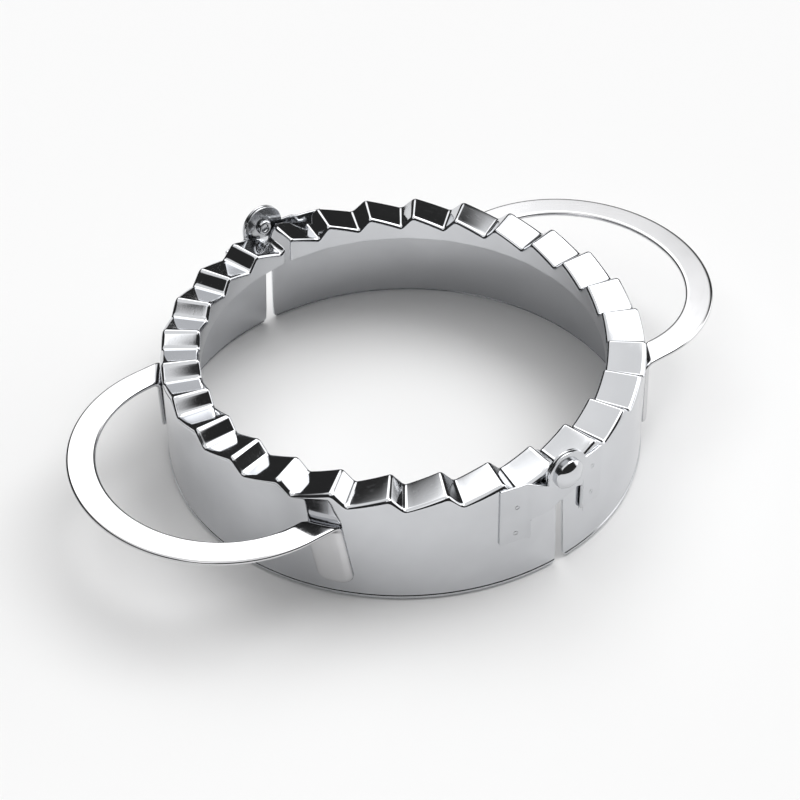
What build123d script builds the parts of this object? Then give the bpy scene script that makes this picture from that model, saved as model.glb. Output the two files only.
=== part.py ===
"""Empanada press: two hinged half rings of pressed stainless steel.

Each half is one pressed shell with a crimped rim, a flat strip handle and two hinge straps, spot-welded
together. A rivet at each end of the hinge line joins the halves. Lengths are in millimetres and angles in
degrees.

The press lies open on a table. The origin is on the table at the centre of the ring, +Z is up, the hinge
line runs along Y and the handles point along -X and +X. The left half is the right half turned half a turn
about Z, so each kind of piece is drawn once, and turned for its twin.
"""

import os
from math import cos, radians, sin, sqrt, tan

from build123d import *

# Ring
RING_RADIUS = 60.0  # outside of the skirt
SHELL_SHEET = 0.8  # sheet of the pressed shells
RIM_HEIGHT = 29.55  # middle of the rim's waves above the table
RIM_BEVEL = 1.8  # rounded turn from the skirt to the flange, drawn as a bevel
FLANGE_WIDTH = 9.8  # crimping flange, from the outside of the skirt to the mouth
LIP_DEPTH = 2.6  # turned-down lip of the mouth, below the lowest wave

# Waves of the rim: a long rise and a steep fall, going anticlockwise seen from above
WAVES_PER_HALF = 14
WAVE_HALF_HEIGHT = 1.8
STEEP_SHARE = 0.26  # share of a wave that falls
CLOSED_GAP = 1.2  # room for the dough between the closed rims
CLOSED_CLEARANCE = 0.45  # from the closed rim to the other half's outer straps

# Ends of the half rings along the hinge line, as distances from it
PLAIN_END_TOP = 0.45  # end that carries the inner strap, at the rim
PLAIN_END_FOOT = 2.0  # the same end, at the table
JOGGLED_END_TOP = 1.35  # end that carries the outer strap, at the rim
JOGGLED_END_FOOT = 0.4  # the same end, at the table
FOOT_CORNER = 2.4  # rounded lower corner of each end
NOTCH_CLEARANCE = 0.8  # round the rivet's tail, cut out of the shells' ends

# Hinge straps
STRAP_SHEET = 0.6
EAR_RADIUS = 5.75
INNER_EAR_GAP = 0.9  # from the skirt to the inner ear
OUTER_EAR_GAP = 0.2  # from the inner ear to the outer one
STRAP_DROP = 16.55  # from the hinge line down to the straps' lower edges
STRAP_TOPS_GAP = 0.8  # between the tops of an inner and an outer strap when the press is closed
INNER_STRAP_NEAR = 6.0  # distances from the hinge line to the sides of the inner strap's welded plate
INNER_STRAP_FAR = 13.3
INNER_NECK_DROP = 7.75  # from the hinge line down to where the neck's lower edge leaves the plate
INNER_NECK_CORNER = 1.5  # inside corner between them
OUTER_STRAP_NEAR = 8.8  # the same for the outer strap
OUTER_STRAP_FAR = 16.4
OUTER_NECK_DROP = 10.3
OUTER_NECK_CORNER = 0.8
NECK_SLOPE = 19.5  # rise of the necks' lower edges towards the ears
EAR_CORNER = 1.3  # rounded corner where the outer neck's lower edge turns up to the ear
EAR_NOTCH = 0.9  # depth of the notch between a strap's top and its ear, below the hinge line
JOGGLE_RUN = 0.9  # length of the step between a plate and its neck
JOGGLE_STEP = 0.9  # how far the outer strap's neck stands out from its plate at the step

# Rivets
SHANK_RADIUS = 1.5
RUNNING_CLEARANCE = 0.05  # round the shank in the inner strap, and under the tail
HEAD_RADIUS = 3.9
HEAD_EDGE = 0.8  # straight edge under the dome
HEAD_HEIGHT = 2.5
TAIL_RADIUS = 2.1
TAIL_EDGE = 0.3
TAIL_HEIGHT = 1.1

# Handles
HANDLE_SHEET = 1.3
HANDLE_DROP = 6.55  # from the middle of the waves down to the strip's upper face
HANDLE_LENGTH = 30.5  # from the skirt to the outside of the loop
HANDLE_HALF_SPAN = 38.3  # outside of the legs from the middle of the handle
STRIP_WIDTH = 7.1
LEG_LENGTH = 8.8  # straight leg, from where its outer edge leaves the skirt to the loop's curve
BEND_RADIUS = 1.0  # inside of the bend down to the tabs
TAB_FOOT = 5.0  # height of the tabs' rounded ends
TAB_FOOT_WIDTH = 6.4  # across the handle
TAB_LEAN = 2.0  # how far a tab's outer edge leans towards the hinge line at its foot
TAB_CORNER = 2.2

# Sizes that follow
HINGE_HEIGHT = RIM_HEIGHT + CLOSED_GAP / 2
MOUTH_RADIUS = RING_RADIUS - FLANGE_WIDTH
LIP_FOOT = RIM_HEIGHT - WAVE_HALF_HEIGHT - SHELL_SHEET - LIP_DEPTH
SHELL_TOP = RIM_HEIGHT + 2 * WAVE_HALF_HEIGHT  # above every wave
WAVE_PITCH = 180 / WAVES_PER_HALF
HALF_FALL = WAVE_PITCH * STEEP_SHARE / 2
INNER_EAR_Y = RING_RADIUS + INNER_EAR_GAP  # near faces of the ears
OUTER_EAR_Y = INNER_EAR_Y + STRAP_SHEET + OUTER_EAR_GAP
HEAD_Y = OUTER_EAR_Y + STRAP_SHEET
TAIL_Y = INNER_EAR_Y - RUNNING_CLEARANCE
NOTCH_RADIUS = TAIL_RADIUS + NOTCH_CLEARANCE
STRAP_FOOT = HINGE_HEIGHT - STRAP_DROP
HIGHEST_SKIRT = RIM_HEIGHT + WAVE_HALF_HEIGHT - RIM_BEVEL
OUTER_STRAP_TOP = 2 * HINGE_HEIGHT - HIGHEST_SKIRT - CLOSED_CLEARANCE
INNER_STRAP_TOP = 2 * HINGE_HEIGHT - OUTER_STRAP_TOP - STRAP_TOPS_GAP
HANDLE_TOP = RIM_HEIGHT - HANDLE_DROP
HANDLE_REACH = RING_RADIUS + HANDLE_LENGTH
OVERSIZE = 5.0  # how far a cutting solid reaches past what it cuts


def radial_plane(angle):
    """Upright plane through Z: its x runs outwards at the angle and its y runs up."""
    turn = radians(angle)
    return Plane(origin=(0, 0, 0), x_dir=(cos(turn), sin(turn), 0), z_dir=(sin(turn), -cos(turn), 0))


def wave_stations():
    """Angle and height of each crest and each trough along the right half, one pair past each end."""
    stations = []
    for wave in range(WAVES_PER_HALF + 1):
        middle_of_fall = -90 + wave * WAVE_PITCH
        stations.append((middle_of_fall - HALF_FALL, RIM_HEIGHT + WAVE_HALF_HEIGHT))
        stations.append((middle_of_fall + HALF_FALL, RIM_HEIGHT - WAVE_HALF_HEIGHT))
    return stations


def on_ring(distance, radius):
    """How far out along Y a circle about the ring's centre is at a distance from the hinge line."""
    return sqrt(radius**2 - distance**2)


def wave_section(height, corner_inset, end_height):
    """Area between a wave and a level, with the corner over the skirt cut off at 45 degrees."""
    far = RING_RADIUS + OVERSIZE
    near = MOUTH_RADIUS - OVERSIZE
    corner = RING_RADIUS - corner_inset
    Polygon(
        (near, height),
        (corner, height),
        (far, height - (far - corner)),
        (far, end_height),
        (near, end_height),
        align=None,
    )


# Everything above the waves of the right half
with BuildPart() as above_waves:
    for angle, height in wave_stations():
        with BuildSketch(radial_plane(angle)):
            wave_section(height, RIM_BEVEL, SHELL_TOP + OVERSIZE)
    loft(ruled=True)

# The hollow under the flange, between the skirt and the lip
with BuildPart() as under_flange:
    sheet_on_bevel = SHELL_SHEET * (sqrt(2) - 1)
    for angle, height in wave_stations():
        with BuildSketch(radial_plane(angle)):
            wave_section(height - SHELL_SHEET, RIM_BEVEL + sheet_on_bevel, -OVERSIZE)
    loft(ruled=True)
    with BuildSketch(Plane.XY.offset(-OVERSIZE)):
        Circle(RING_RADIUS - SHELL_SHEET)
        Circle(MOUTH_RADIUS + SHELL_SHEET, mode=Mode.SUBTRACT)
    extrude(amount=SHELL_TOP + 2 * OVERSIZE, mode=Mode.INTERSECT)

# Shells
with BuildPart() as right_shell:
    # Side view of the half ring: the front end carries the inner strap, the back end the outer strap
    ends = ((PLAIN_END_TOP, PLAIN_END_FOOT, 1), (JOGGLED_END_TOP, JOGGLED_END_FOOT, -1))
    for end_top, end_foot, towards_front in ends:
        with BuildSketch(Plane.XZ):
            with BuildLine():
                Polyline(
                    (end_foot, 0),
                    (RING_RADIUS + OVERSIZE, 0),
                    (RING_RADIUS + OVERSIZE, SHELL_TOP),
                    (end_top, SHELL_TOP),
                    close=True,
                )
            foot_side = make_face()
            fillet(foot_side.vertices().group_by(Axis.Y)[0].sort_by(Axis.X)[0], FOOT_CORNER)
        extrude(amount=towards_front * (RING_RADIUS + OVERSIZE))
    with BuildSketch():
        Circle(RING_RADIUS)
        Circle(MOUTH_RADIUS, mode=Mode.SUBTRACT)
    extrude(amount=SHELL_TOP, mode=Mode.INTERSECT)
    add(above_waves.part, mode=Mode.SUBTRACT)
    add(under_flange.part, mode=Mode.SUBTRACT)
    # The mouth below the lip
    with BuildSketch():
        Circle(RING_RADIUS - SHELL_SHEET)
    extrude(amount=LIP_FOOT, mode=Mode.SUBTRACT)
    # Room for the rivets' tails
    notch_depth = TAIL_HEIGHT + NOTCH_CLEARANCE + OVERSIZE
    for towards_front in (1, -1):
        with BuildSketch(Plane.XZ.offset(towards_front * (TAIL_Y + OVERSIZE))):
            with Locations((0, HINGE_HEIGHT)):
                Circle(NOTCH_RADIUS)
        extrude(amount=-towards_front * notch_depth, mode=Mode.SUBTRACT)

with BuildPart() as left_shell:
    add(right_shell.part, rotation=(0, 0, 180))


# Hinge straps
def strap_side_view(near, far, top, neck_drop, neck_corner, neck_end):
    """Plate, neck and ear of a strap seen from the front. Distances towards +X are positive."""
    direction = 1 if far > 0 else -1
    neck_foot = HINGE_HEIGHT - neck_drop
    neck_end_foot = neck_foot + abs(neck_end - near) * tan(radians(NECK_SLOPE))
    notch_x = direction * sqrt(EAR_RADIUS**2 - EAR_NOTCH**2)
    with BuildSketch(Plane.XZ) as side_view:
        with BuildLine():
            Polyline(
                (far, STRAP_FOOT),
                (near, STRAP_FOOT),
                (near, neck_foot),
                (neck_end, neck_end_foot),
                (neck_end, HINGE_HEIGHT),
                (notch_x, HINGE_HEIGHT - EAR_NOTCH),
                (near, top),
                (far, top),
                close=True,
            )
        make_face()
        fillet(side_view.vertices().sort_by_distance((near, neck_foot))[0], neck_corner)
        fillet(side_view.vertices().sort_by_distance((neck_end, neck_end_foot))[0], EAR_CORNER)
        with Locations((0, HINGE_HEIGHT)):
            Circle(EAR_RADIUS)
    return side_view.sketch


# The outer neck runs on under its ear, and the inner one runs into its ear
outer_side_view = strap_side_view(
    -OUTER_STRAP_NEAR, -OUTER_STRAP_FAR, OUTER_STRAP_TOP, OUTER_NECK_DROP, OUTER_NECK_CORNER, EAR_RADIUS
)
inner_side_view = strap_side_view(
    INNER_STRAP_NEAR, INNER_STRAP_FAR, INNER_STRAP_TOP, INNER_NECK_DROP, INNER_NECK_CORNER, 0
)
strap_height = HINGE_HEIGHT + EAR_RADIUS + OVERSIZE

with BuildPart() as front_outer_strap:
    with BuildSketch():
        with BuildLine():
            plate_near = OUTER_STRAP_NEAR + JOGGLE_RUN
            plate = RadiusArc(
                (-OUTER_STRAP_FAR, -on_ring(OUTER_STRAP_FAR, RING_RADIUS)),
                (-plate_near, -on_ring(plate_near, RING_RADIUS)),
                -RING_RADIUS,
            )
            Polyline(
                plate @ 1,
                (-OUTER_STRAP_NEAR, -on_ring(OUTER_STRAP_NEAR, RING_RADIUS) - JOGGLE_STEP),
                (-EAR_RADIUS - OUTER_EAR_GAP, -OUTER_EAR_Y),
                (EAR_RADIUS, -OUTER_EAR_Y),
            )
            offset(amount=STRAP_SHEET, side=Side.RIGHT)
        make_face()
    extrude(amount=strap_height)
    extrude(outer_side_view, amount=RING_RADIUS + OVERSIZE, mode=Mode.INTERSECT)
    with BuildSketch(Plane.XZ.offset(OUTER_EAR_Y - OVERSIZE)):
        with Locations((0, HINGE_HEIGHT)):
            Circle(SHANK_RADIUS)
    extrude(amount=2 * OVERSIZE, mode=Mode.SUBTRACT)

with BuildPart() as front_inner_strap:
    with BuildSketch():
        with BuildLine():
            plate_near = INNER_STRAP_NEAR + JOGGLE_RUN
            plate = RadiusArc(
                (INNER_STRAP_FAR, -on_ring(INNER_STRAP_FAR, RING_RADIUS)),
                (plate_near, -on_ring(plate_near, RING_RADIUS)),
                RING_RADIUS,
            )
            Polyline(plate @ 1, (INNER_STRAP_NEAR, -INNER_EAR_Y), (-EAR_RADIUS, -INNER_EAR_Y))
            offset(amount=STRAP_SHEET, side=Side.LEFT)
        make_face()
    extrude(amount=strap_height)
    extrude(inner_side_view, amount=RING_RADIUS + OVERSIZE, mode=Mode.INTERSECT)
    with BuildSketch(Plane.XZ.offset(INNER_EAR_Y - OVERSIZE)):
        with Locations((0, HINGE_HEIGHT)):
            Circle(SHANK_RADIUS + RUNNING_CLEARANCE)
    extrude(amount=2 * OVERSIZE, mode=Mode.SUBTRACT)

with BuildPart() as back_outer_strap:
    add(front_outer_strap.part, rotation=(0, 0, 180))

with BuildPart() as back_inner_strap:
    add(front_inner_strap.part, rotation=(0, 0, 180))


# Rivets: a domed head outside the ring and a rolled tail inside it
def dome_radius(foot_radius, height):
    """Radius of the ball that a dome is cut from."""
    return (foot_radius**2 + height**2) / (2 * height)


with BuildPart() as front_rivet:
    tail_end = TAIL_Y - TAIL_HEIGHT
    dome_base = HEAD_Y + HEAD_EDGE
    # x runs along the rivet, out of the ring
    with BuildSketch(Plane(origin=(0, 0, HINGE_HEIGHT), x_dir=(0, -1, 0), z_dir=(1, 0, 0))):
        with BuildLine():
            tail_dome = TAIL_HEIGHT - TAIL_EDGE
            head_dome = HEAD_HEIGHT - HEAD_EDGE
            head_top = (dome_base + head_dome, 0)
            RadiusArc((tail_end, 0), (TAIL_Y - TAIL_EDGE, TAIL_RADIUS), dome_radius(TAIL_RADIUS, tail_dome))
            RadiusArc((dome_base, HEAD_RADIUS), head_top, dome_radius(HEAD_RADIUS, head_dome))
            Polyline(
                (dome_base, HEAD_RADIUS),
                (HEAD_Y, HEAD_RADIUS),
                (HEAD_Y, SHANK_RADIUS),
                (TAIL_Y, SHANK_RADIUS),
                (TAIL_Y, TAIL_RADIUS),
                (TAIL_Y - TAIL_EDGE, TAIL_RADIUS),
            )
            Line((tail_end, 0), head_top)
        make_face()
    revolve(axis=Axis((0, 0, HINGE_HEIGHT), (0, -1, 0)))

with BuildPart() as back_rivet:
    add(front_rivet.part, rotation=(0, 0, 180))

# Handles: a flat strip whose ends bend down at the skirt into tabs. The bent sheet is turned about the
# ring's axis, and the strip's plan and the tabs' outlines are cut out of it.
bend_outside = BEND_RADIUS + HANDLE_SHEET
bend_height = HANDLE_TOP - bend_outside
leg_inside = HANDLE_HALF_SPAN - STRIP_WIDTH
loop_start = on_ring(HANDLE_HALF_SPAN, RING_RADIUS) + LEG_LENGTH

with BuildPart() as handle_outline:
    with BuildSketch(Plane.XY.offset(bend_height)):
        with Locations((loop_start, 0)):
            Ellipse(HANDLE_REACH - loop_start, HANDLE_HALF_SPAN)
            Rectangle(LEG_LENGTH + RING_RADIUS, 2 * HANDLE_HALF_SPAN, align=(Align.MAX, Align.CENTER))
            Ellipse(HANDLE_REACH - STRIP_WIDTH - loop_start, leg_inside, mode=Mode.SUBTRACT)
            Rectangle(
                LEG_LENGTH + RING_RADIUS, 2 * leg_inside, align=(Align.MAX, Align.CENTER), mode=Mode.SUBTRACT
            )
    extrude(amount=bend_outside)
    with BuildSketch(Plane.YZ):
        with BuildLine():
            foot_outside = HANDLE_HALF_SPAN + TAB_LEAN
            Polyline(
                (leg_inside, bend_height),
                (HANDLE_HALF_SPAN, bend_height),
                (foot_outside, TAB_FOOT),
                (foot_outside - TAB_FOOT_WIDTH, TAB_FOOT),
                close=True,
            )
        tab_view = make_face()
        fillet(tab_view.vertices().group_by(Axis.Y)[0], TAB_CORNER)
        mirror(about=Plane.YZ)
    extrude(amount=RING_RADIUS + OVERSIZE)

with BuildPart() as right_handle:
    with BuildSketch(radial_plane(-90)):
        with BuildLine():
            Polyline(
                (RING_RADIUS + bend_outside, HANDLE_TOP),
                (HANDLE_REACH + OVERSIZE, HANDLE_TOP),
                (HANDLE_REACH + OVERSIZE, HANDLE_TOP - HANDLE_SHEET),
                (RING_RADIUS + bend_outside, HANDLE_TOP - HANDLE_SHEET),
            )
            CenterArc((RING_RADIUS + bend_outside, bend_height), BEND_RADIUS, 90, 90)
            Polyline(
                (RING_RADIUS + HANDLE_SHEET, bend_height),
                (RING_RADIUS + HANDLE_SHEET, 0),
                (RING_RADIUS, 0),
                (RING_RADIUS, bend_height),
            )
            CenterArc((RING_RADIUS + bend_outside, bend_height), bend_outside, 90, 90)
        make_face()
    revolve(axis=Axis.Z, revolution_arc=180)
    add(handle_outline.part, mode=Mode.INTERSECT)

with BuildPart() as left_handle:
    add(right_handle.part, rotation=(0, 0, 180))

pieces = {
    "right_shell": right_shell,
    "left_shell": left_shell,
    "right_handle": right_handle,
    "left_handle": left_handle,
    "front_outer_strap": front_outer_strap,
    "back_outer_strap": back_outer_strap,
    "front_inner_strap": front_inner_strap,
    "back_inner_strap": back_inner_strap,
    "front_rivet": front_rivet,
    "back_rivet": back_rivet,
}
os.makedirs("parts", exist_ok=True)
for name, piece in pieces.items():
    piece.part.label = name
    export_step(piece.part, f"parts/{name}.step")
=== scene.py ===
"""Empanada press: two hinged half rings of mirror-polished stainless steel, open on a pale floor.

Each half is a pressed shell with a waved rim, a strip handle and two hinge straps. A rivet at each end of the
hinge line joins the halves. Sizes are in millimetres until a mesh is published in metres. Everything is drawn
for the right half, or for the front hinge, and turned half a turn about Z for its twin.
"""

import logging
import math
from dataclasses import dataclass
from enum import Enum

import bmesh
import bpy
from bmesh.types import BMEdge, BMesh, BMVert
from mathutils import Matrix, Quaternion, Vector


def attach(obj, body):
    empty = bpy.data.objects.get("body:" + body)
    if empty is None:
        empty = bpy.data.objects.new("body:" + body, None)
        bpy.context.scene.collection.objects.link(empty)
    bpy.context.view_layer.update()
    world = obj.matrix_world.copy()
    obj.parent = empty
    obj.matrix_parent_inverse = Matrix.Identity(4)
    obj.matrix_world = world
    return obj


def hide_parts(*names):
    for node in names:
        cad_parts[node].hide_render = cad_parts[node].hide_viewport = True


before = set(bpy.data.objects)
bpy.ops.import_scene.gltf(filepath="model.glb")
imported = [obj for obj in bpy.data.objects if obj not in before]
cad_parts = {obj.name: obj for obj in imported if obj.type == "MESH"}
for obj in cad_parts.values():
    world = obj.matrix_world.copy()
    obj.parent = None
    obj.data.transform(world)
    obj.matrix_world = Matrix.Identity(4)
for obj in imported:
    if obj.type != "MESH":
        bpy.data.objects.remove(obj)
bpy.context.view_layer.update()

log = logging.getLogger("empanada_press")

MM = 0.001
X_AXIS = Vector((1, 0, 0))
Y_AXIS = Vector((0, 1, 0))
Z_AXIS = Vector((0, 0, 1))
HINGE_HEIGHT = 30.15
RING_RADIUS = 60.0
SHARP_FROM = 50.0  # degrees between two faces whose shading is kept apart
TOUCHING = 1e-4  # points nearer than this are one point


class Half(Enum):
    """A half of the press, by the CAD body that its pieces ride on."""

    RIGHT = "right_half"
    LEFT = "left_half"


class Pair(Enum):
    """The two like pieces of a pair, the drawn one first: how they are told apart, and their halves."""

    SIDE_BY_SIDE = (("right", Half.RIGHT), ("left", Half.LEFT))
    FRONT_ON_LEFT = (("front", Half.LEFT), ("back", Half.RIGHT))
    FRONT_ON_RIGHT = (("front", Half.RIGHT), ("back", Half.LEFT))


class Lines(Enum):
    """Which way the fine lines of the polishing run."""

    ROUND_THE_RING = "round the ring"
    ALONG_THE_LOOP = "along the handle's loop"
    UPRIGHT = "upright"


def smooth_step(value: float, low: float, high: float) -> float:
    """Eases a value from 0 at low, and before it, to 1 at high, and past it."""
    share = min(1.0, max(0.0, (value - low) / (high - low)))
    return share * share * (3 - 2 * share)


def across_circle(radius: float, offset: float) -> float:
    """Distance from a circle's diameter to the circle, at an offset along that diameter."""
    return math.sqrt(radius**2 - offset**2)


class Pen:
    """Draws an open chain of edges into a bmesh, stroke by stroke."""

    def __init__(self, bm: BMesh, start: Vector) -> None:
        """Puts the pen down.

        Args:
            bm: The bmesh that is drawn into.
            start: Where the chain starts.
        """
        self.bm = bm
        self.tip: BMVert = bm.verts.new(start)

    def line(self, to: Vector, steps: int = 1) -> None:
        """Draws a straight stroke.

        Args:
            to: Where the stroke ends.
            steps: How many edges it has.
        """
        start = self.tip.co.copy()
        for step in range(1, steps + 1):
            self.tip = bmesh.ops.extrude_vert_indiv(self.bm, verts=[self.tip])["verts"][0]
            self.tip.co = start.lerp(to, step / steps)

    def arc(self, centre: Vector, axis: Vector, angle: float, steps: int) -> None:
        """Draws an arc from the pen's tip.

        Args:
            centre: The arc's centre.
            axis: What the arc turns about.
            angle: How far it turns, in degrees.
            steps: How many edges it has.
        """
        made = bmesh.ops.spin(
            self.bm, geom=[self.tip], cent=centre, axis=axis, dvec=Vector(), angle=math.radians(angle),
            steps=steps, use_merge=False, use_normal_flip=False, use_duplicate=False,
        )
        self.tip = next(part for part in made["geom_last"] if isinstance(part, BMVert))


def spin_all(
    bm: BMesh, centre: Vector, axis: Vector, angle: float, steps: int, closed: bool = False,
    advance: Vector | None = None,
) -> None:
    """Draws a surface by turning, or moving, everything in a bmesh step by step.

    Args:
        bm: The bmesh, which holds a chain of edges.
        centre: A point on the axis.
        axis: What the chain turns about.
        angle: How far it turns, in radians.
        steps: How many faces wide the surface is.
        closed: Whether the last copy is joined to the first.
        advance: How far the chain moves on at each step, if it does.
    """
    bmesh.ops.spin(
        bm, geom=bm.verts[:] + bm.edges[:], cent=centre, axis=axis, dvec=advance or Vector(), angle=angle,
        steps=steps, use_merge=closed, use_normal_flip=False, use_duplicate=False,
    )


def round_corners(bm: BMesh, corners: list[BMVert], rounding: float, segments: int) -> None:
    """Rounds corners of a flat outline, each by a radius and into a number of edges."""
    bmesh.ops.bevel(
        bm, geom=corners, offset=rounding, offset_type="OFFSET", affect="VERTICES", segments=segments,
        profile=0.5, material=-1,
    )


def draw_rounded_block(bm: BMesh, matrix: Matrix, rounding: float, segments: int) -> None:
    """Draws the outline of a block's section: a rectangle with rounded corners.

    Args:
        bm: The bmesh that is drawn into.
        matrix: What takes a square of side 1 in the XY plane to the rectangle.
        rounding: The corners' radius.
        segments: How many edges each corner has.
    """
    bmesh.ops.create_grid(bm, x_segments=1, y_segments=1, size=0.5, matrix=matrix)
    round_corners(bm, bm.verts[:], rounding, segments)
    bmesh.ops.delete(bm, geom=bm.faces[:], context="FACES_ONLY")


def cut_edges(bm: BMesh, place: Vector, normal: Vector) -> None:
    """Adds a vertex wherever the plane through a place crosses an edge, and cuts the faces along it."""
    bmesh.ops.bisect_plane(
        bm, geom=bm.verts[:] + bm.edges[:] + bm.faces[:], dist=TOUCHING, plane_co=place, plane_no=normal,
        use_snap_center=False, clear_outer=False, clear_inner=False,
    )


def face_outwards(bm: BMesh, towards: Vector, near: Vector) -> None:
    """Makes a surface's normals agree, and point a given way at the face nearest to a point.

    Args:
        bm: The surface.
        towards: The direction that the chosen face has to look in.
        near: A point beside the chosen face.
    """
    bmesh.ops.recalc_face_normals(bm, faces=bm.faces)
    chosen = min(bm.faces, key=lambda face: (face.calc_center_median() - near).length)
    if chosen.normal.dot(towards) < 0:
        bmesh.ops.reverse_faces(bm, faces=bm.faces)


def keep_flats_flat(piece: bpy.types.Object) -> None:
    """Adds the modifier that lets broad faces set the shading of the rounded edges beside them."""
    shading = piece.modifiers.new("flats_stay_flat", "WEIGHTED_NORMAL")
    shading.keep_sharp = True


@dataclass(frozen=True)
class SheetEdge:
    """How a bent sheet gets its thickness and its rounded edges."""

    thickness: float
    grows_outwards: bool
    rounding: float
    segments: int = 2
    sharp_from: float = 45.0

    def add_to(self, piece: bpy.types.Object) -> None:
        """Adds the modifiers that thicken the sheet and round its edges.

        Args:
            piece: The object whose mesh is the bare sheet.
        """
        wall = piece.modifiers.new("sheet", "SOLIDIFY")
        wall.thickness = self.thickness * MM
        wall.offset = 1.0 if self.grows_outwards else -1.0
        wall.use_even_offset = True
        edge = piece.modifiers.new("rounded_edges", "BEVEL")
        edge.width = self.rounding * MM
        edge.segments = self.segments
        edge.limit_method = "ANGLE"
        edge.angle_limit = math.radians(self.sharp_from)
        edge.profile = 0.5
        edge.use_clamp_overlap = False


class NodeGraph:
    """A short way to add and link shader nodes."""

    def __init__(self, tree: bpy.types.NodeTree) -> None:
        """Starts an empty graph in a node tree."""
        self.tree = tree
        tree.nodes.clear()

    def add(self, kind: str, inputs: dict | None = None, **settings: object) -> bpy.types.Node:
        """Adds a node.

        Args:
            kind: The node's type.
            inputs: A value, or the output socket of another node, for each input by its name or index.
            settings: The node's own properties.

        Returns:
            The new node.
        """
        node = self.tree.nodes.new(kind)
        for name, value in settings.items():
            setattr(node, name, value)
        for name, value in (inputs or {}).items():
            if isinstance(value, bpy.types.NodeSocket):
                self.tree.links.new(value, node.inputs[name])
            else:
                node.inputs[name].default_value = value
        return node

    def math(self, operation: str, *values: object) -> bpy.types.NodeSocket:
        """Adds a Math node and returns its output."""
        node = self.add("ShaderNodeMath", dict(enumerate(values)), operation=operation)
        return node.outputs[0]

    def spread(self, value: bpy.types.NodeSocket, source: tuple, target: tuple) -> bpy.types.NodeSocket:
        """Maps a value smoothly from one range to another.

        Args:
            value: What is mapped.
            source: The range that it comes from.
            target: The range that it goes to.

        Returns:
            The mapped value.
        """
        inputs = {"Value": value}
        for side, (low, high) in (("From", source), ("To", target)):
            inputs |= {f"{side} Min": low, f"{side} Max": high}
        return self.add("ShaderNodeMapRange", inputs, interpolation_type="SMOOTHSTEP").outputs["Result"]


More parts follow.
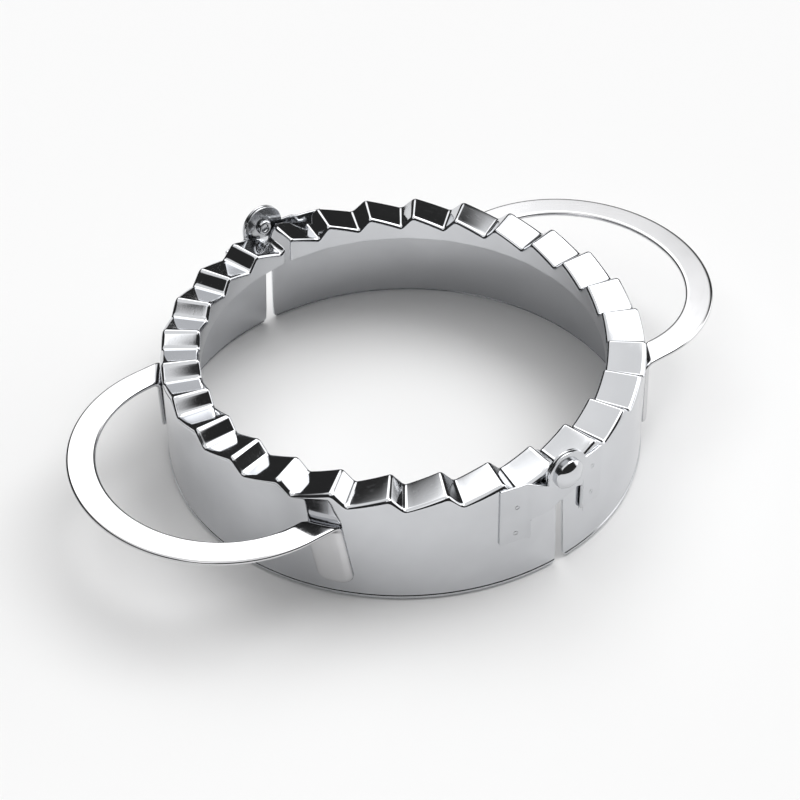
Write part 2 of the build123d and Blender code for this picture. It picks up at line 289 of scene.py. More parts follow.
@dataclass(frozen=True)
class PolishedSteel:
    """Stainless steel off the polishing wheel: a mirror with a faint haze, fine lines and a few hairlines."""

    name: str
    slot: str
    light_tint: tuple[float, float, float]
    dark_tint: tuple[float, float, float]
    clearest: float
    haziest: float
    lines: Lines
    line_depth: float = 0.02
    loop_centre: float = 0.0
    haze_scale: float = 55.0
    line_scale: tuple[float, float, float] = (30.0, 2600.0, 2600.0)
    line_haze: float = 0.015
    hairline_scale: tuple[float, float, float] = (90.0, 1500.0, 1500.0)
    hairline_slant: tuple[float, float, float] = (0.0, 0.05, 0.09)
    hairline_edges: tuple[float, float] = (0.70, 0.74)
    hairline_haze: float = 0.05
    hairline_share: float = 0.5
    relief_height: float = 0.0001

    def surface_point(self, graph: NodeGraph, coordinates: bpy.types.Node) -> bpy.types.NodeSocket:
        """Coordinates in which the polishing lines run along the first axis.

        Args:
            graph: The material's graph.
            coordinates: Its Texture Coordinate node.

        Returns:
            A vector: along the lines, and twice across them.
        """
        if self.lines is Lines.UPRIGHT:
            turned = graph.add("ShaderNodeMapping", {
                "Vector": coordinates.outputs["Object"], "Rotation": (0, math.pi / 2, 0),
            })
            return turned.outputs["Vector"]
        split = graph.add("ShaderNodeSeparateXYZ", {"Vector": coordinates.outputs["Object"]})
        across = graph.math("ABSOLUTE", split.outputs["X"])
        across = graph.math("SUBTRACT", across, self.loop_centre * MM)
        angle = graph.math("ARCTAN2", split.outputs["Y"], across)
        squares = [graph.math("POWER", socket, 2.0) for socket in (across, split.outputs["Y"])]
        radius = graph.math("SQRT", graph.math("ADD", *squares))
        along = graph.math("MULTIPLY", angle, RING_RADIUS * MM)
        joined = graph.add("ShaderNodeCombineXYZ", {"X": along, "Y": radius, "Z": split.outputs["Z"]})
        return joined.outputs["Vector"]

    def add_marks(
        self, graph: NodeGraph, coordinates: bpy.types.Node, bump: bpy.types.Node,
    ) -> bpy.types.Node:
        """Adds the marks of making to the relief. Plain polished steel has none."""
        return bump

    def build(self) -> bpy.types.Material:
        """Makes the material.

        Returns:
            The finished material.
        """
        material = bpy.data.materials.new(self.name)
        material.use_nodes = True
        graph = NodeGraph(material.node_tree)
        coordinates = graph.add("ShaderNodeTexCoord")
        point = self.surface_point(graph, coordinates)

        haze = graph.add("ShaderNodeTexNoise", {
            "Vector": coordinates.outputs["Object"], "Scale": self.haze_scale, "Detail": 3.0,
            "Roughness": 0.55,
        })
        stretched = graph.add("ShaderNodeMapping", {"Vector": point, "Scale": self.line_scale})
        brushing = graph.add("ShaderNodeTexNoise", {
            "Vector": stretched.outputs["Vector"], "Scale": 1.0, "Detail": 2.0, "Roughness": 0.6,
        })
        hair_space = graph.add("ShaderNodeMapping", {
            "Vector": point, "Scale": self.hairline_scale, "Rotation": self.hairline_slant,
        })
        hairs = graph.add("ShaderNodeTexNoise", {
            "Vector": hair_space.outputs["Vector"], "Scale": 1.0, "Detail": 0.0,
        })
        hair_mask = graph.spread(hairs.outputs["Fac"], self.hairline_edges, (0.0, 1.0))

        tint = graph.add("ShaderNodeMix", {
            "Factor": graph.spread(haze.outputs["Fac"], (0.35, 0.65), (0.0, 1.0)),
            "A": (*self.dark_tint, 1), "B": (*self.light_tint, 1),
        }, data_type="RGBA")
        cloudy = graph.spread(haze.outputs["Fac"], (0.3, 0.7), (self.clearest, self.haziest))
        brushed = graph.spread(brushing.outputs["Fac"], (0.3, 0.7), (-self.line_haze, self.line_haze))
        scratched = graph.math("MULTIPLY", hair_mask, self.hairline_haze)
        roughness = graph.math("ADD", graph.math("ADD", cloudy, brushed), scratched)

        hollows = graph.math("MULTIPLY", hair_mask, self.hairline_share)
        bump = graph.add("ShaderNodeBump", {
            "Height": graph.math("SUBTRACT", brushing.outputs["Fac"], hollows), "Strength": self.line_depth,
            "Distance": self.relief_height,
        })
        bump = self.add_marks(graph, coordinates, bump)
        shader = graph.add("ShaderNodeBsdfPrincipled", {
            "Base Color": tint.outputs["Result"], "Metallic": 1.0, "Roughness": roughness,
            "Normal": bump.outputs["Normal"],
        })
        graph.add("ShaderNodeOutputMaterial", {"Surface": shader.outputs["BSDF"]})
        return material


@dataclass(frozen=True)
class WeldedSteel(PolishedSteel):
    """Polished steel with the rings that spot welds leave.

    A weld is placed by its distance from the hinge line and its height above the table.
    """

    welds: tuple[tuple[float, float], ...] = ()
    ring_radius: float = 0.5
    ring_width: float = 0.16
    ring_height: float = 0.12

    def add_marks(
        self, graph: NodeGraph, coordinates: bpy.types.Node, bump: bpy.types.Node,
    ) -> bpy.types.Node:
        """Raises a ring round each weld.

        Args:
            graph: The material's graph.
            coordinates: Its Texture Coordinate node.
            bump: The relief so far.

        Returns:
            The relief with the rings.
        """
        split = graph.add("ShaderNodeSeparateXYZ", {"Vector": coordinates.outputs["Object"]})
        beside = graph.math("ABSOLUTE", split.outputs["X"])
        rings: bpy.types.NodeSocket | float = 0.0
        for distance, height in self.welds:
            across = graph.math("SUBTRACT", beside, distance * MM)
            up = graph.math("SUBTRACT", split.outputs["Z"], height * MM)
            square = graph.math("ADD", graph.math("POWER", across, 2.0), graph.math("POWER", up, 2.0))
            off_ring = graph.math("SUBTRACT", graph.math("SQRT", square), self.ring_radius * MM)
            off_ring = graph.math("ABSOLUTE", off_ring)
            rings = graph.math("ADD", rings, graph.spread(off_ring, (0.0, self.ring_width * MM), (1.0, 0.0)))
        return graph.add("ShaderNodeBump", {
            "Height": rings, "Strength": 1.0, "Distance": self.ring_height * MM,
            "Normal": bump.outputs["Normal"],
        })


@dataclass(frozen=True)
class Place:
    """Where one of a pair of like pieces goes."""

    name: str
    node: str
    half: Half


def publish(bm: BMesh, place: Place, steel: PolishedSteel) -> bpy.types.Object:
    """Turns a bmesh in millimetres into a piece that stands for a CAD node and rides on a half of the press.

    Args:
        bm: The mesh. It is freed.
        place: The piece's name, the CAD node that it stands for and the half that it rides on.
        steel: Its finish.

    Returns:
        The new object, at the origin.
    """
    bmesh.ops.scale(bm, vec=Vector((MM, MM, MM)), verts=bm.verts)
    for face in bm.faces:
        face.smooth = True
    mesh = bpy.data.meshes.new(place.name)
    bm.to_mesh(mesh)
    bm.free()
    mesh.set_sharp_from_angle(angle=math.radians(SHARP_FROM))
    piece = bpy.data.objects.new(place.name, mesh)
    bpy.context.scene.collection.objects.link(piece)
    mesh.materials.append(bpy.data.materials.get(steel.name) or steel.build())
    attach(piece, place.half.value)
    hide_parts(place.node)
    log.info(
        "%s: %d faces, rides on %s, stands for %s",
        place.name, len(mesh.polygons), place.half.value, place.node,
    )
    return piece


def publish_pair(
    drawn: BMesh, kind: str, node: str, pair: Pair, steel: PolishedSteel, edge: SheetEdge | None = None,
) -> None:
    """Publishes a piece and its twin, which is turned half a turn about the ring's axis.

    Args:
        drawn: The mesh of the first piece. It is freed.
        kind: What the pieces are, as in their names.
        node: The same as in the names of their CAD nodes.
        pair: How the two are told apart, and the halves that they ride on.
        steel: Their finish.
        edge: How they get their thickness and rounded edges, if they are still bare sheet.
    """
    turned = drawn.copy()
    bmesh.ops.rotate(turned, cent=Vector(), matrix=Matrix.Rotation(math.pi, 3, "Z"), verts=turned.verts)
    for bm, (which, half) in zip((drawn, turned), pair.value):
        piece = publish(bm, Place(f"{which}_{kind}", f"{which}_{node}", half), steel)
        if edge:
            edge.add_to(piece)
        keep_flats_flat(piece)


@dataclass
class RimWaves:
    """The waves of the rim: a long rise and a steep fall, going anticlockwise seen from above.

    A phase counts waves, from the middle of a fall, with a trough just after it.
    """

    per_half: int = 14
    half_height: float = 1.66
    steep_share: float = 0.26
    rounding: float = 0.055
    half_fall_steps: int = 2
    fold_steps: int = 7
    rise_steps: int = 6

    def __post_init__(self) -> None:
        """Sets what follows from the sizes."""
        self.pitch = math.pi / self.per_half
        trough = self.steep_share / 2
        crest = 1 - trough
        stretches = (
            (0.0, trough - self.rounding, self.half_fall_steps),
            (trough - self.rounding, trough + self.rounding, self.fold_steps),
            (trough + self.rounding, crest - self.rounding, self.rise_steps),
            (crest - self.rounding, crest + self.rounding, self.fold_steps),
            (crest + self.rounding, 1.0, self.half_fall_steps),
        )
        self.stations = [
            start + (end - start) * step / steps for start, end, steps in stretches for step in range(steps)
        ]
        self.columns = self.per_half * len(self.stations)

    def column_angle(self, column: int) -> float:
        """Angle of a column of the mesh past the front hinge. Columns stand close together at the folds."""
        wave, station = divmod(column, len(self.stations))
        return (wave + self.stations[station]) * self.pitch

    def area(self, phase: float) -> float:
        """Area under the sharp wave up to a phase, for a height of 1 either way.

        Args:
            phase: The phase, of which only the part past the last whole wave counts.

        Returns:
            The area, counted from the trough: 0 there and at every trough.
        """
        _, past_trough = divmod(phase - self.steep_share / 2, 1.0)
        rise = 1 - self.steep_share
        if past_trough < rise:
            return past_trough * past_trough / rise - past_trough
        fall = past_trough - rise
        return fall - fall * fall / self.steep_share

    def height(self, angle: float) -> float:
        """Height of the rim above its middle.

        Args:
            angle: The angle past the front hinge, in radians.

        Returns:
            The height, with the wave's corners rounded: its mean over a short stretch.
        """
        phase = angle / self.pitch
        stretch = self.area(phase + self.rounding) - self.area(phase - self.rounding)
        return self.half_height * stretch / (2 * self.rounding)


@dataclass(frozen=True)
class Stroke:
    """A stretch of a sheet's section: its length, how far it turns in degrees, and its steps in the mesh."""

    length: float
    turn: float
    steps: int

    @staticmethod
    def around(radius: float, turn: float, steps: int) -> "Stroke":
        """Makes a stroke that bends round a radius."""
        return Stroke(radius * math.radians(abs(turn)), turn, steps)


@dataclass
class HalfShell:
    """One pressed half ring: skirt, bead over its curled foot, rolled rim, waved flange and turned-down lip.

    It starts as a flat strip of sheet with rounded edges: x counts columns of the mesh round the ring, y runs
    up the section from the foot to the lip, and z is the depth below the outer skin. A few more columns at
    each end round that end off and close it. Then the strip is pressed: each point goes where the section,
    the ends and the waves put it.
    """

    sheet: float = 0.8
    edge_rounding: float = 0.2
    rim_height: float = 29.75
    rim_roll: float = 1.15
    flange_width: float = 9.8
    lip_roll: float = 1.0
    lip_foot: float = 24.35
    curl_radius: float = 1.3
    curl_start: float = 1.0
    bead_turn: float = 46.0
    bead_radii: tuple[float, float] = (0.5, 0.35)
    wave_foot: float = 21.0
    notch_depth: float = 1.15
    notch_ramp: float = 0.5
    plain_end: tuple[float, float] = (0.45, 2.0)
    joggled_end: tuple[float, float] = (1.35, 0.4)
    foot_corner: float = 2.4
    tail_notch: float = 2.9
    end_columns: int = 5
    rounding_columns: int = 3
    edge_segments: int = 4

    def __post_init__(self) -> None:
        """Sets what follows from the sizes."""
        self.waves = RimWaves()
        self.curl = math.degrees(math.asin(self.curl_start / self.curl_radius))
        over, under = self.bead_radii
        self.bead = (over + under) * (1 - math.cos(math.radians(self.bead_turn)))
        bead_height = (over + under) * math.sin(math.radians(self.bead_turn))
        self.strokes = (
            Stroke.around(self.curl_radius, self.curl, 6),
            Stroke.around(over, self.bead_turn, 3),
            Stroke.around(under, -self.bead_turn, 3),
            Stroke(self.wave_foot - self.curl_start - bead_height, 0, 7),
            Stroke(self.rim_height - self.rim_roll - self.wave_foot, 0, 9),
            Stroke.around(self.rim_roll, 90, 9),
            Stroke(self.flange_width - self.rim_roll - self.lip_roll, 0, 8),
            Stroke.around(self.lip_roll, 90, 7),
            Stroke(self.rim_height - self.lip_roll - self.lip_foot, 0, 5),
        )
        self.length = sum(stroke.length for stroke in self.strokes)
        self.skin_points: dict[float, tuple[float, float, float]] = {}

    def skin(self, distance: float) -> tuple[float, float, float]:
        """A point of the outer skin's section.

        Args:
            distance: How far along the section it lies, from the foot.

        Returns:
            Its distance from the ring's axis, its height, and the section's heading there in radians, from
            outwards towards up.
        """
        key = round(distance, 5)
        if key not in self.skin_points:
            heading = math.radians(90 - self.curl)
            radius = RING_RADIUS + self.bead - self.curl_radius * (1 - math.sin(heading))
            height = 0.0
            left = distance
            for stroke in self.strokes:
                reach = min(left, stroke.length)
                if stroke.turn:
                    bend = stroke.length / math.radians(stroke.turn)
                    after = heading + reach / bend
                    radius += bend * (math.sin(after) - math.sin(heading))
                    height += bend * (math.cos(heading) - math.cos(after))
                    heading = after
                else:
                    radius += reach * math.cos(heading)
                    height += reach * math.sin(heading)
                left -= reach
            self.skin_points[key] = (radius, height, heading)
        return self.skin_points[key]

    def end_distance(self, radius: float, height: float, end: tuple[float, float]) -> float:
        """How far an end of the half ring stands from the hinge line.

        Args:
            radius: Distance from the ring's axis.
            height: Height above the table, before the waves.
            end: Distances at the rim and at the table.

        Returns:
            The distance, with the rounded foot and the notch for the rivet's tail.
        """
        top, foot = end
        distance = foot + (top - foot) * height / self.rim_height
        low = min(self.foot_corner - height, self.foot_corner)
        if low > 0:
            distance += self.foot_corner - across_circle(self.foot_corner, low)
        beside = abs(height - HINGE_HEIGHT)
        if beside < self.tail_notch:
            notch = max(across_circle(self.tail_notch, beside) - distance, 0.0)
            floor = RING_RADIUS - self.notch_depth
            distance += notch * smooth_step(radius, floor - self.notch_ramp, floor)
        return distance

    def press(self, point: Vector) -> Vector:
        """Moves a point of the flat strip to its place on the pressed shell.

        Args:
            point: Its column, its distance along the section and its depth.

        Returns:
            The point on the shell.
        """
        column = min(max(round(point.x), 0), self.waves.columns)
        past_end = abs(round(point.x) - column)
        around = math.pi / 2 * min(past_end / self.rounding_columns, 1.0)
        squeezed = max(past_end - self.rounding_columns, 0) / (self.end_columns - self.rounding_columns)
        inset = self.edge_rounding * (1 - math.cos(around)) + (self.sheet / 2 - self.edge_rounding) * squeezed
        drawn_back = self.edge_rounding * (1 - math.sin(around))
        along = min(max(point.y, inset), self.length - inset)
        depth = min(max(point.z, inset), self.sheet - inset)

        skin_radius, skin_height, heading = self.skin(along)
        radius = skin_radius - depth * math.sin(heading)
        height = skin_height + depth * math.cos(heading)

        angle = self.waves.column_angle(column)
        front = math.asin((self.end_distance(radius, height, self.plain_end) + drawn_back) / radius)
        back = math.asin((self.end_distance(radius, height, self.joggled_end) + drawn_back) / radius)
        near_front = max(0.0, 1 - angle / self.waves.pitch)
        near_back = max(0.0, 1 - (math.pi - angle) / self.waves.pitch)
        angle += front * near_front - back * near_back

        if skin_radius > RING_RADIUS - self.flange_width / 2:
            share = max(0.0, (skin_height - self.wave_foot) / (self.rim_height - self.wave_foot)) ** 2
        else:
            share = smooth_step(skin_height, self.lip_foot, self.rim_height - self.lip_roll)
        height += share * self.waves.height(angle)
        return Vector((radius * math.sin(angle), -radius * math.cos(angle), height))

    def draw(self) -> BMesh:
        """Draws the right shell.

        Returns:
            The mesh, in millimetres.
        """
        bm = bmesh.new()
        middle = Matrix.Translation((-self.end_columns, self.length / 2, self.sheet / 2))
        upright = Matrix.Rotation(math.pi / 2, 4, "Z") @ Matrix.Rotation(math.pi / 2, 4, "X")
        size = Matrix.Diagonal((self.length, self.sheet, 1, 1))
        draw_rounded_block(bm, middle @ upright @ size, self.edge_rounding, self.edge_segments)
        along = 0.0
        for stroke in self.strokes:
            for step in range(1, stroke.steps + 1):
                cut_edges(bm, Vector((0, along + stroke.length * step / stroke.steps, 0)), Y_AXIS)
            along += stroke.length
        spin_all(bm, Vector(), Z_AXIS, 0, self.waves.columns + 2 * self.end_columns, advance=X_AXIS)
        for vertex in bm.verts:
            vertex.co = self.press(vertex.co)
        bmesh.ops.remove_doubles(bm, verts=bm.verts, dist=TOUCHING)
        face_outwards(bm, X_AXIS, Vector((RING_RADIUS, 0, self.rim_height / 2)))
        return bm


@dataclass
class StripHandle:
    """A flat strip with worn-down edges, bent into a loop, whose ends turn down at the skirt into tabs."""

    top: float = 23.0
    sheet: float = 1.3
    reach: float = 90.5
    half_span: float = 38.3
    strip_width: float = 7.1
    edge_width: float = 0.8
    edge_depth: float = 0.6
    leg_length: float = 8.8
    bend_inside: float = 1.0
    seat_gap: float = 0.03
    tab_foot: float = 5.0
    tab_foot_width: float = 6.4
    tab_lean: float = 2.0
    tab_corner: float = 2.2
    edge_segments: int = 8
    loop_steps: int = 64
    cuts_across: tuple[float, ...] = (0.16, 0.5, 0.84)
    stage_steps: tuple[int, ...] = (4, 10, 6, 9, 6)
    foot_seam: float = 2e-3

    def __post_init__(self) -> None:
        """Sets what follows from the sizes."""
        self.bend_outside = self.bend_inside + self.sheet
        self.bend_height = self.top - self.bend_outside
        self.bend_start = RING_RADIUS + self.bend_outside
        self.loop_centre = across_circle(RING_RADIUS, self.half_span) + self.leg_length
        self.flattening = self.half_span - (self.reach - self.loop_centre)

    def draw_section(self, bm: BMesh) -> None:
        """Draws the strip's section, its corners worn down flat, at the middle of the loop.

        Args:
            bm: The bmesh that is drawn into.
        """
        inside = self.loop_centre + self.half_span - self.strip_width
        middle = Matrix.Translation((inside + self.strip_width / 2, 0, self.top - self.sheet / 2))
        stretch = self.edge_width / self.edge_depth
        stand = Matrix.Rotation(math.pi / 2, 4, "X")
        size = Matrix.Diagonal((self.strip_width, self.sheet * stretch, 1, 1))
        draw_rounded_block(bm, stand @ size, self.edge_width, self.edge_segments)
        bmesh.ops.transform(bm, matrix=middle @ Matrix.Diagonal((1, 1, 1 / stretch, 1)), verts=bm.verts)
        for share in self.cuts_across:
            cut_edges(bm, Vector((inside + self.strip_width * share, 0, 0)), X_AXIS)

    def edge_inset(self, depth: float) -> float:
        """How far a rounded edge draws back.

        Args:
            depth: Depth below the strip's upper face.

        Returns:
            The distance, 0 on the flat of the edge.
        """
        near_face = min(depth, self.sheet - depth)
        if near_face >= self.edge_depth:
            return 0.0
        rise = self.edge_width * (1 - max(near_face, 0.0) / self.edge_depth)
        return self.edge_width - across_circle(self.edge_width, rise)

    def place(self, stage: float, across: float, depth: float) -> Vector:
        """Puts a point of an end of the strip, drawn straight, where the bends put it.

        Args:
            stage: Where it lies along the end: up to 1 leg, 2 bend, 3 tab, 4 the foot's corners, 5 the foot's
                own rounded edge.
            across: Its distance from the middle of the handle, before the tab narrows and leans.
            depth: Its depth below the strip's upper face.

        Returns:
            The point on the bent strip.
        """
        if stage <= 1:
            x = self.loop_centre + (across_circle(self.bend_start, across) - self.loop_centre) * stage
            return Vector((x, across, self.top - depth))
        bend = self.bend_outside - depth
        if stage <= 2:
            turn = (stage - 1) * math.pi / 2
            radius = self.bend_start + self.seat_gap * math.sin(turn) - bend * math.sin(turn)
            return Vector((across_circle(radius, across), across, self.bend_height + bend * math.cos(turn)))
        inset = self.edge_inset(depth)
        share = (across - self.half_span + self.strip_width / 2) / (self.strip_width / 2 - inset)
        squeeze = max(stage - 4, 0.0) * self.sheet / 2
        depth = min(max(depth, squeeze), self.sheet - squeeze)
        around = math.radians(90 * min(max(stage - 3, 0.0), 1.0))
        corner_start = self.tab_foot + self.tab_corner
        height = self.bend_height + (corner_start - self.bend_height) * min(stage - 2, 1.0)
        height -= (self.tab_corner - self.edge_inset(depth)) * math.sin(around)
        fallen = (self.bend_height - height) / (self.bend_height - self.tab_foot)
        half_width = (self.strip_width + (self.tab_foot_width - self.strip_width) * fallen) / 2
        reach = half_width - self.tab_corner + (self.tab_corner - inset) * math.cos(around)
        y = self.half_span + self.tab_lean * fallen - half_width + share * reach
        return Vector((across_circle(RING_RADIUS + self.seat_gap + depth, y), y, height))

    def add_end(self, bm: BMesh) -> None:
        """Runs the strip on from the end of the loop's curve, and bends it into leg and tab.

        Args:
            bm: The bmesh, which holds a quarter of the loop.
        """
        stages = [
            stage + step / steps
            for stage, steps in enumerate(self.stage_steps) for step in range(1, steps + 1)
        ]
        row = {vertex for vertex in bm.verts if vertex.co.x < self.loop_centre + TOUCHING}
        edges = [edge for edge in bm.edges if row.issuperset(edge.verts)]
        for stage in stages:
            made = bmesh.ops.extrude_edge_only(bm, edges=edges)["geom"]
            row = {part for part in made if isinstance(part, BMVert)}
            edges = [part for part in made if isinstance(part, BMEdge) and row.issuperset(part.verts)]
            for vertex in row:
                vertex.co.x = self.loop_centre - stage
        for vertex in bm.verts:
            stage = self.loop_centre - vertex.co.x
            if stage > TOUCHING:
                vertex.co = self.place(stage, vertex.co.y, self.top - vertex.co.z)

    def draw(self) -> BMesh:
        """Draws the right handle.

        Returns:
            The mesh, in millimetres.
        """
        bm = bmesh.new()
        self.draw_section(bm)
        spin_all(bm, Vector((self.loop_centre, 0, self.top)), Z_AXIS, math.pi / 2, self.loop_steps)
        for vertex in bm.verts:
            offset = vertex.co.x - self.loop_centre
            radius = math.hypot(offset, vertex.co.y)
            vertex.co.x = self.loop_centre + offset * (radius - self.flattening) / radius
        self.add_end(bm)
        bmesh.ops.mirror(
            bm, geom=bm.verts[:] + bm.edges[:] + bm.faces[:], matrix=Matrix.Identity(4), merge_dist=TOUCHING,
            axis="Y",
        )
        bmesh.ops.remove_doubles(bm, verts=bm.verts, dist=self.foot_seam)
        face_outwards(bm, Z_AXIS, Vector((self.reach - self.strip_width / 2, 0, self.top)))
        return bm


@dataclass
class HingeStrap:
    """A thin plate spot-welded to the skirt, with a neck that steps out to a round ear at the hinge.

    Distances run from the hinge line towards the plate. The bends are places where the strap changes
    direction: a distance, and how far out of the ring the inner face lies there.
    """

    side: int
    near: float
    far: float
    top: float
    bends: tuple[tuple[float, float], ...]
    neck_foot: float
    neck_end: tuple[float, float] | None
    ear_start: float
    corners: tuple[tuple[float, float, float], ...]
    sheet: float = 0.6
    foot: float = 13.6
    ear_radius: float = 5.75
    notch_drop: float = 0.9
    plate_near: float = 0.9
    shank_hole: float = 1.55
    softening: float = 0.45
    softening_steps: int = 9
    clear_ring: float = 0.19
    band_width: float = 0.6
    first_band: float = 1.0
    ear_steps: int = 56
    hole_steps: int = 28
    corner_steps: int = 6

    def __post_init__(self) -> None:
        """Sets what follows from the sizes."""
        self.edge = SheetEdge(self.sheet, grows_outwards=True, rounding=0.13, segments=3)

    def sharp_depth(self, distance: float) -> float:
        """How far out of the ring the inner face lies, before the bends are softened.

        Args:
            distance: Distance from the hinge line, towards the plate.

        Returns:
            The distance from the XZ plane.
        """
        plate_start = self.near + self.plate_near
        if distance >= plate_start:
            return across_circle(RING_RADIUS, distance)
        before = (plate_start, across_circle(RING_RADIUS, plate_start))
        for bend in self.bends:
            if distance >= bend[0]:
                share = (before[0] - distance) / (before[0] - bend[0])
                return before[1] + (bend[1] - before[1]) * share
            before = bend
        return before[1]

    def depth(self, distance: float) -> float:
        """How far out of the ring the inner face lies, with softened bends: the mean over a short stretch.

        Args:
            distance: Distance from the hinge line, towards the plate.

        Returns:
            The distance from the XZ plane.
        """
        last = self.softening_steps - 1
        offsets = [self.softening * (2 * step / last - 1) for step in range(self.softening_steps)]
        return sum(self.sharp_depth(distance + offset) for offset in offsets) / self.softening_steps

    def draw_outline(self, bm: BMesh) -> None:
        """Draws the strap's side view as a flat sheet in the XZ plane, with the rivet's hole.

        Args:
            bm: The bmesh that is drawn into.
        """
        side = self.side

        def at(distance: float, height: float) -> Vector:
            """Point of the side view."""
            return Vector((side * distance, 0, height))

        ear_centre = Vector((0, 0, HINGE_HEIGHT))
        start = math.radians(self.ear_start)
        notch = math.degrees(math.asin(self.notch_drop / self.ear_radius))
        pen = Pen(bm, at(self.far, self.foot))
        first = pen.tip
        pen.line(at(self.near, self.foot))
        pen.line(at(self.near, self.neck_foot))
        if self.neck_end:
            pen.line(at(*self.neck_end))
        pen.line(ear_centre + at(self.ear_radius * math.cos(start), -self.ear_radius * math.sin(start)))
        pen.arc(ear_centre, Y_AXIS, side * (360 - self.ear_start + notch), self.ear_steps)
        pen.line(at(self.near, self.top))
        pen.line(at(self.far, self.top))
        bm.edges.new((pen.tip, first))
        bmesh.ops.contextual_create(bm, geom=bm.edges[:])
        for distance, height, rounding in self.corners:
            corner = min(bm.verts, key=lambda vertex: (vertex.co - at(distance, height)).length)
            round_corners(bm, [corner], rounding, self.corner_steps)
        bmesh.ops.delete(bm, geom=bm.faces[:], context="FACES_ONLY")
        hole = Matrix.Translation(ear_centre) @ Matrix.Rotation(math.pi / 2, 4, "X")
        bmesh.ops.create_circle(
            bm, cap_ends=False, segments=self.hole_steps, radius=self.shank_hole, matrix=hole,
        )
        bmesh.ops.triangle_fill(bm, use_beauty=True, use_dissolve=False, edges=bm.edges[:], normal=Y_AXIS)
        bmesh.ops.inset_region(
            bm, faces=bm.faces[:], thickness=self.clear_ring, depth=0, use_boundary=True,
            use_even_offset=True,
        )

    def bend(self, bm: BMesh) -> None:
        """Slices the flat strap into narrow upright bands and bends them to the skirt, the step and the ear.

        Args:
            bm: The bmesh, which holds the flat strap.
        """
        plate_start = self.near + self.plate_near
        bands = int((self.far - plate_start - self.first_band) / self.band_width)
        cuts = [plate_start + self.first_band + self.band_width * step for step in range(bands)]
        halfway = (self.softening_steps - 1) / 2
        for turn in (plate_start, self.bends[0][0], self.bends[-1][0]):
            cuts += [turn + self.softening * (step / halfway - 1) for step in range(self.softening_steps)]
        for distance in sorted(set(cuts)):
            cut_edges(bm, Vector((self.side * distance, 0, 0)), X_AXIS)
        for vertex in bm.verts:
            vertex.co.y = -self.depth(self.side * vertex.co.x)

    def draw(self) -> BMesh:
        """Draws the strap at the front hinge.

        Returns:
            Its inner face, in millimetres.
        """
        bm = bmesh.new()
        self.draw_outline(bm)
        self.bend(bm)
        face_outwards(bm, -Y_AXIS, Vector((self.side * self.far, -RING_RADIUS, self.foot)))
        return bm


@dataclass
class Rivet:
    """A rivet with a domed head outside the ring and a rolled, hollow tail inside it."""

    head_seat: float = 62.3
    tail_seat: float = 60.85
    shank_radius: float = 1.5
    head_radius: float = 3.9
    head_edge: float = 0.8
    head_height: float = 2.5
    head_shoulder: float = 0.3
    tail_radius: float = 2.1
    tail_height: float = 1.1
    tail_edge: float = 0.3
    tail_hole: float = 0.85
    tail_hole_depth: float = 0.9
    hole_floor_share: float = 0.8
    roll_steps: int = 12
    shoulder_steps: int = 5
    dome_steps: int = 20
    steps_round: int = 72

    def draw_section(self, bm: BMesh) -> None:
        """Draws the half section of the rivet, beside its axis.

        Args:
            bm: The bmesh that is drawn into.
        """

        def at(radius: float, out: float) -> Vector:
            """Point of the section: its distance from the rivet's axis, and from the XZ plane."""
            return Vector((radius, -out, HINGE_HEIGHT))

        tail_end = self.tail_seat - self.tail_height
        hole_floor = tail_end + self.tail_hole_depth
        roll = (self.tail_radius - self.tail_hole) / 2
        reach = self.tail_height - self.tail_edge
        pen = Pen(bm, at(0, hole_floor))
        pen.line(at(self.tail_hole * self.hole_floor_share, hole_floor), 3)
        pen.line(at(self.tail_hole, self.tail_seat - self.tail_edge), 2)
        for step in range(1, self.roll_steps + 1):
            turn = math.pi * step / self.roll_steps
            beside = self.tail_hole + roll * (1 - math.cos(turn))
            pen.line(at(beside, self.tail_seat - self.tail_edge - reach * math.sin(turn)))
        pen.line(at(self.tail_radius, self.tail_seat))
        pen.line(at(self.shank_radius, self.tail_seat), 2)
        pen.line(at(self.shank_radius, self.head_seat), 3)
        pen.line(at(self.head_radius, self.head_seat), 4)
        dome_base = self.head_seat + self.head_edge
        dome = self.head_height - self.head_edge
        ball = (self.head_radius**2 + dome**2) / (2 * dome)
        opening = math.degrees(math.asin(self.head_radius / ball))
        pen.line(at(self.head_radius, dome_base), 2)
        shoulder = pen.tip
        pen.arc(at(0, dome_base + dome - ball), Z_AXIS, -opening, self.dome_steps)
        round_corners(bm, [shoulder], self.head_shoulder, self.shoulder_steps)

    def draw(self) -> BMesh:
        """Draws the rivet of the front hinge.

        Returns:
            Its mesh, in millimetres.
        """
        bm = bmesh.new()
        self.draw_section(bm)
        spin_all(bm, Vector((0, 0, HINGE_HEIGHT)), Y_AXIS, 2 * math.pi, self.steps_round, closed=True)
        bmesh.ops.remove_doubles(bm, verts=bm.verts, dist=TOUCHING)
        bmesh.ops.recalc_face_normals(bm, faces=bm.faces)
        return bm


@dataclass(frozen=True)
class SoftPanel:
    """A round, soft-edged light panel, far from the press. Angles are in degrees."""

    azimuth: float
    elevation: float
    inner: float
    outer: float
    strength: float

    @property
    def towards(self) -> Vector:
        """Direction from the press to the panel.

        Returns:
            A vector of length 1.
        """
        azimuth, elevation = math.radians(self.azimuth), math.radians(self.elevation)
        across = math.cos(elevation)
        return Vector((across * math.cos(azimuth), across * math.sin(azimuth), math.sin(elevation)))


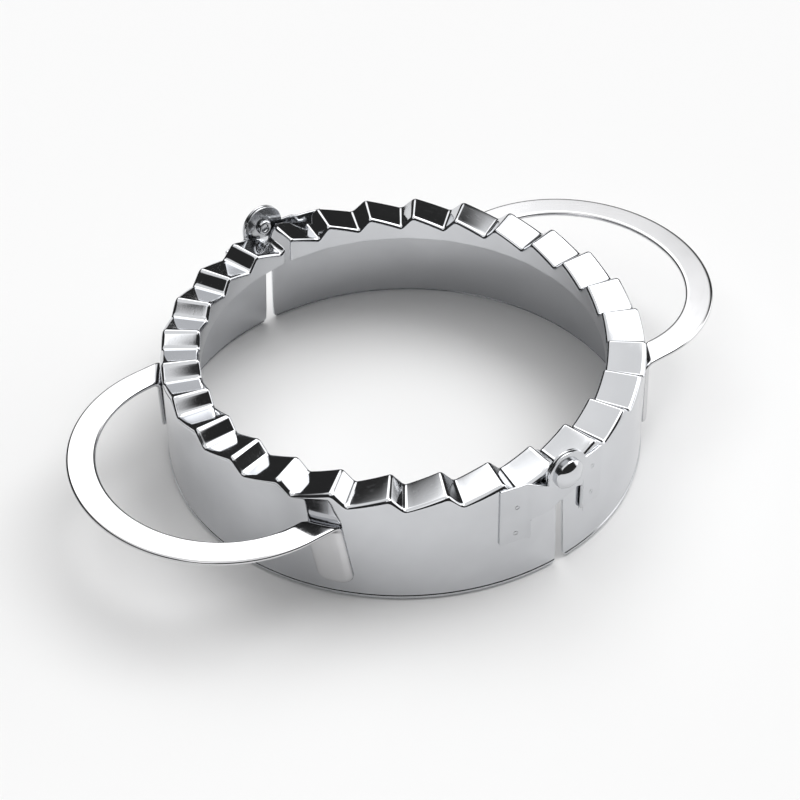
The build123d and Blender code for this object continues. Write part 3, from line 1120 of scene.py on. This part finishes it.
@dataclass
class Studio:
    """The pale floor, the soft light and the camera."""

    floor_radius: float = 6.0
    floor_tone: float = 0.9
    floor_roughness: float = 0.9
    backdrop: float = 0.982
    surrounding: float = 0.03
    panels: tuple[SoftPanel, ...] = (
        SoftPanel(azimuth=50, elevation=84, inner=42, outer=50, strength=1.0),
        SoftPanel(azimuth=-8, elevation=57, inner=14, outer=26, strength=2.95),
        SoftPanel(azimuth=64, elevation=46, inner=12, outer=24, strength=1.6),
        SoftPanel(azimuth=-15, elevation=12, inner=18, outer=28, strength=1.8),
        SoftPanel(azimuth=-152, elevation=46, inner=6, outer=12, strength=1.2),
    )
    camera_place: tuple[float, float, float] = (-243.794, -327.086, 355.268)
    camera_aim: tuple[float, float, float] = (-3.927, -3.652, 15.0)
    camera_roll: float = -1.031
    camera_lens: float = 95.04

    def build_floor(self) -> None:
        """Makes the floor and marks it as the stage."""
        bm = bmesh.new()
        bmesh.ops.create_circle(bm, cap_ends=True, segments=96, radius=self.floor_radius)
        mesh = bpy.data.meshes.new("floor")
        bm.to_mesh(mesh)
        bm.free()
        floor = bpy.data.objects.new("floor", mesh)
        bpy.context.scene.collection.objects.link(floor)
        material = bpy.data.materials.new("floor_paint")
        material.use_nodes = True
        graph = NodeGraph(material.node_tree)
        shader = graph.add("ShaderNodeBsdfPrincipled", {
            "Base Color": (self.floor_tone, self.floor_tone, self.floor_tone, 1),
            "Roughness": self.floor_roughness, "Specular IOR Level": 0.0,
        })
        graph.add("ShaderNodeOutputMaterial", {"Surface": shader.outputs["BSDF"]})
        mesh.materials.append(material)
        log.info("floor: radius %.1f m", self.floor_radius)

    def build_light(self) -> None:
        """Makes the soft surrounding light: round panels in a dark room, before a white backdrop."""
        world = bpy.data.worlds.new("studio")
        bpy.context.scene.world = world
        world.use_nodes = True
        graph = NodeGraph(world.node_tree)
        direction = graph.add("ShaderNodeTexCoord").outputs["Generated"]
        light: bpy.types.NodeSocket | float = self.surrounding
        for panel in self.panels:
            facing = graph.add(
                "ShaderNodeVectorMath", {0: direction, 1: panel.towards}, operation="DOT_PRODUCT",
            )
            edges = (math.cos(math.radians(panel.outer)), math.cos(math.radians(panel.inner)))
            glow = graph.spread(facing.outputs["Value"], edges, (0.0, panel.strength))
            light = graph.math("ADD", light, glow)
        seen = graph.add("ShaderNodeLightPath").outputs["Is Camera Ray"]
        shown = graph.add(
            "ShaderNodeMix", {"Factor": seen, "A": light, "B": self.backdrop}, data_type="FLOAT",
        )
        background = graph.add("ShaderNodeBackground", {
            "Color": (1, 1, 1, 1), "Strength": shown.outputs["Result"],
        })
        graph.add("ShaderNodeOutputWorld", {"Surface": background.outputs["Background"]})
        log.info("light: %d panels", len(self.panels))

    def build_camera(self) -> None:
        """Makes the camera, aimed at the press."""
        data = bpy.data.cameras.new("camera")
        data.lens = self.camera_lens
        data.sensor_width = 36.0
        data.clip_start = 0.01
        data.clip_end = 100.0
        camera = bpy.data.objects.new("camera", data)
        bpy.context.scene.collection.objects.link(camera)
        place, aim = Vector(self.camera_place) * MM, Vector(self.camera_aim) * MM
        looking = (aim - place).to_track_quat("-Z", "Y")
        roll = Quaternion(Z_AXIS, math.radians(self.camera_roll))
        camera.location = place
        camera.rotation_mode = "QUATERNION"
        camera.rotation_quaternion = looking @ roll
        bpy.context.scene.camera = camera

    def build(self) -> None:
        """Makes the whole studio."""
        self.build_floor()
        self.build_light()
        self.build_camera()
        view = bpy.context.scene.view_settings
        view.view_transform = "Standard"
        view.look = "None"


def strap_steel(name: str, welds: tuple[tuple[float, float], ...]) -> WeldedSteel:
    """Makes the straps' satin finish, less clear than the rest, for a strap with the given welds."""
    return WeldedSteel(
        name, "strap_steel", (0.62, 0.63, 0.65), (0.57, 0.58, 0.60), 0.12, 0.20, Lines.UPRIGHT,
        line_depth=0.05, welds=welds,
    )


SHELL_STEEL = PolishedSteel(
    "polished_pressed_steel", "pressed_steel", (0.64, 0.65, 0.67), (0.60, 0.61, 0.63), 0.05, 0.09,
    Lines.ROUND_THE_RING,
)
HANDLE_STEEL = PolishedSteel(
    "polished_strip_steel", "handle_steel", (0.66, 0.66, 0.67), (0.62, 0.62, 0.63), 0.06, 0.11,
    Lines.ALONG_THE_LOOP, loop_centre=54.98,
)
OUTER_STRAP_STEEL = strap_steel("satin_outer_strap_steel", ((12.4, 24.1), (12.6, 16.2)))
INNER_STRAP_STEEL = strap_steel("satin_inner_strap_steel", ((10.0, 25.0), (10.0, 16.8)))
RIVET_STEEL = PolishedSteel(
    "bright_rivet_steel", "rivet_steel", (0.66, 0.67, 0.69), (0.61, 0.62, 0.64), 0.05, 0.10,
    Lines.ROUND_THE_RING,
)

OUTER_STRAP = HingeStrap(
    side=-1, near=8.8, far=16.4, top=30.3,
    bends=((8.8, 60.25), (5.95, 61.7)),
    neck_foot=19.85, neck_end=(-5.75, 25.0), ear_start=180.0,
    corners=((16.4, 13.6, 0.4), (8.8, 13.6, 0.4), (8.8, 19.85, 0.8), (-5.75, 25.0, 1.3), (16.4, 30.3, 0.3)),
)
INNER_STRAP = HingeStrap(
    side=1, near=6.0, far=13.3, top=29.2,
    bends=((6.0, 60.3), (4.9, 60.9)),
    neck_foot=22.4, neck_end=None, ear_start=86.5,
    corners=((13.3, 13.6, 0.4), (6.0, 13.6, 1.2), (6.0, 22.4, 1.5), (13.3, 29.2, 0.3)),
)


def main() -> None:
    """Builds the press and its studio."""
    logging.basicConfig(level=logging.INFO, format="%(name)s: %(message)s")
    publish_pair(HalfShell().draw(), "pressed_shell", "shell", Pair.SIDE_BY_SIDE, SHELL_STEEL)
    publish_pair(StripHandle().draw(), "strip_handle", "handle", Pair.SIDE_BY_SIDE, HANDLE_STEEL)
    publish_pair(
        OUTER_STRAP.draw(), "outer_hinge_strap", "outer_strap", Pair.FRONT_ON_LEFT, OUTER_STRAP_STEEL,
        OUTER_STRAP.edge,
    )
    publish_pair(
        INNER_STRAP.draw(), "inner_hinge_strap", "inner_strap", Pair.FRONT_ON_RIGHT, INNER_STRAP_STEEL,
        INNER_STRAP.edge,
    )
    publish_pair(Rivet().draw(), "domed_rivet", "rivet", Pair.FRONT_ON_LEFT, RIVET_STEEL)
    Studio().build()


if __name__ == "__main__":
    main()
